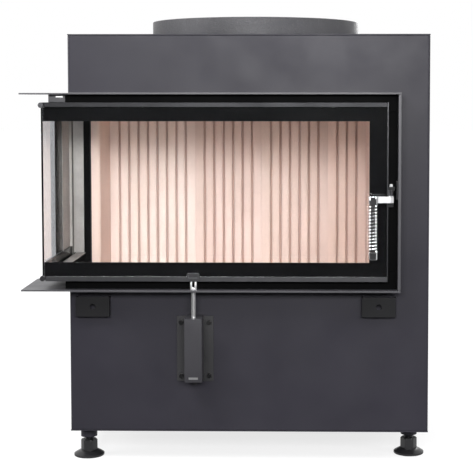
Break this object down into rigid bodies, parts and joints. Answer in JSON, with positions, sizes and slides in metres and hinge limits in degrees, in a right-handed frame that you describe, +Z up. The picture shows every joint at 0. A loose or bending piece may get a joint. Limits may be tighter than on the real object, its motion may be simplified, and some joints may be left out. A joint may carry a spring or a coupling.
{
  "type": "fireplace insert",
  "caption": "Corner fireplace insert: tall dark steel casing on levelling feet, L-shaped glass door with a coil handle, fluted fireclay lining, round flue collar and lever air control.",
  "frame": {"origin": "centre of the footprint, on the floor", "axes": "+Z up, -Y is the front with the wide pane, -X the side with the side pane"},
  "size_m": [1.009, 0.7014, 1.119],
  "materials": {
    "casing_paint": "heat-proof dark grey paint, satin",
    "surround_paint": "heat-proof dark grey paint, satin",
    "black_paint": "black enamel",
    "steel": "bare and blued steel",
    "chrome": "polished chrome",
    "fireclay": "pink-beige fireclay, dry and matte",
    "vermiculite": "pressed vermiculite board",
    "glass": "clear glass ceramic",
    "rope": "woven glass rope, charcoal",
    "foot_black": "black coated steel"
  },
  "bodies": {
    "casing": {"casing_front": "casing_paint", "casing_left": "casing_paint", "casing_right": "casing_paint", "casing_back": "casing_paint", "casing_top": "casing_paint", "casing_base": "casing_paint", "collar_ring": "casing_paint", "facing_bracket_left": "casing_paint", "facing_bracket_right": "casing_paint", "surround_top": "surround_paint", "surround_bottom": "surround_paint", "surround_side": "surround_paint", "wing_top": "surround_paint", "wing_bottom": "surround_paint", "frame_sill": "black_paint", "frame_header": "black_paint", "frame_jamb": "black_paint", "frame_post": "black_paint", "air_plate": "black_paint", "air_cover": "black_paint", "firebox_floor": "steel", "firebox_back": "steel", "firebox_right": "steel", "firebox_ceiling": "steel", "flue_hood": "steel", "hinge_bracket_bottom": "steel", "hinge_bracket_top": "steel", "latch_keeper": "steel", "hearth_brick_1": "fireclay", "hearth_brick_2": "fireclay", "back_brick_1": "fireclay", "back_brick_2": "fireclay", "back_brick_3": "fireclay", "back_brick_4": "fireclay", "left_brick": "fireclay", "right_brick": "fireclay", "hearth_slope_left": "fireclay", "hearth_slope_front": "fireclay", "baffle_brick": "vermiculite"},
    "door": {"front_glass": "glass", "side_glass": "glass", "front_rail_top": "steel", "front_rail_bottom": "steel", "side_tube_top": "steel", "side_tube_bottom": "steel", "front_frame": "black_paint", "side_frame": "black_paint", "door_seal": "rope", "edge_strip": "steel"},
    "handle": {"handle_arm": "chrome", "latch_cam": "steel", "grip_core": "chrome", "grip_spring": "chrome"},
    "air_control": {"air_spindle": "chrome", "air_flap": "steel"},
    "foot_front_left_body": {"foot_front_left": "foot_black"},
    "foot_front_right_body": {"foot_front_right": "foot_black"},
    "foot_rear_left_body": {"foot_rear_left": "foot_black"},
    "foot_rear_right_body": {"foot_rear_right": "foot_black"}
  },
  "joints": [
    {"name": "door_swing", "type": "hinge", "parent": "casing", "child": "door", "pos_m": [-0.4482, 0.0547, 0.686], "axis": [0, 0, -1], "range_deg": [0, 90]},
    {"name": "handle_turn", "type": "hinge", "parent": "door", "child": "handle", "pos_m": [0.4051, -0.3073, 0.671], "axis": [0, 0, 1], "range_deg": [0, 50]},
    {"name": "air_spindle_turn", "type": "hinge", "parent": "casing", "child": "air_control", "pos_m": [-0.08, -0.2943, 0.4], "axis": [0, 0, 1], "range_deg": [0, 90]},
    {"name": "foot_front_left_level", "type": "slide", "parent": "casing", "child": "foot_front_left_body", "axis": [0, 0, 1], "range_m": [-0.02, 0.008]},
    {"name": "foot_front_right_level", "type": "slide", "parent": "casing", "child": "foot_front_right_body", "axis": [0, 0, 1], "range_m": [-0.02, 0.008]},
    {"name": "foot_rear_left_level", "type": "slide", "parent": "casing", "child": "foot_rear_left_body", "axis": [0, 0, 1], "range_m": [-0.02, 0.008]},
    {"name": "foot_rear_right_level", "type": "slide", "parent": "casing", "child": "foot_rear_right_body", "axis": [0, 0, 1], "range_m": [-0.02, 0.008]}
  ]
}
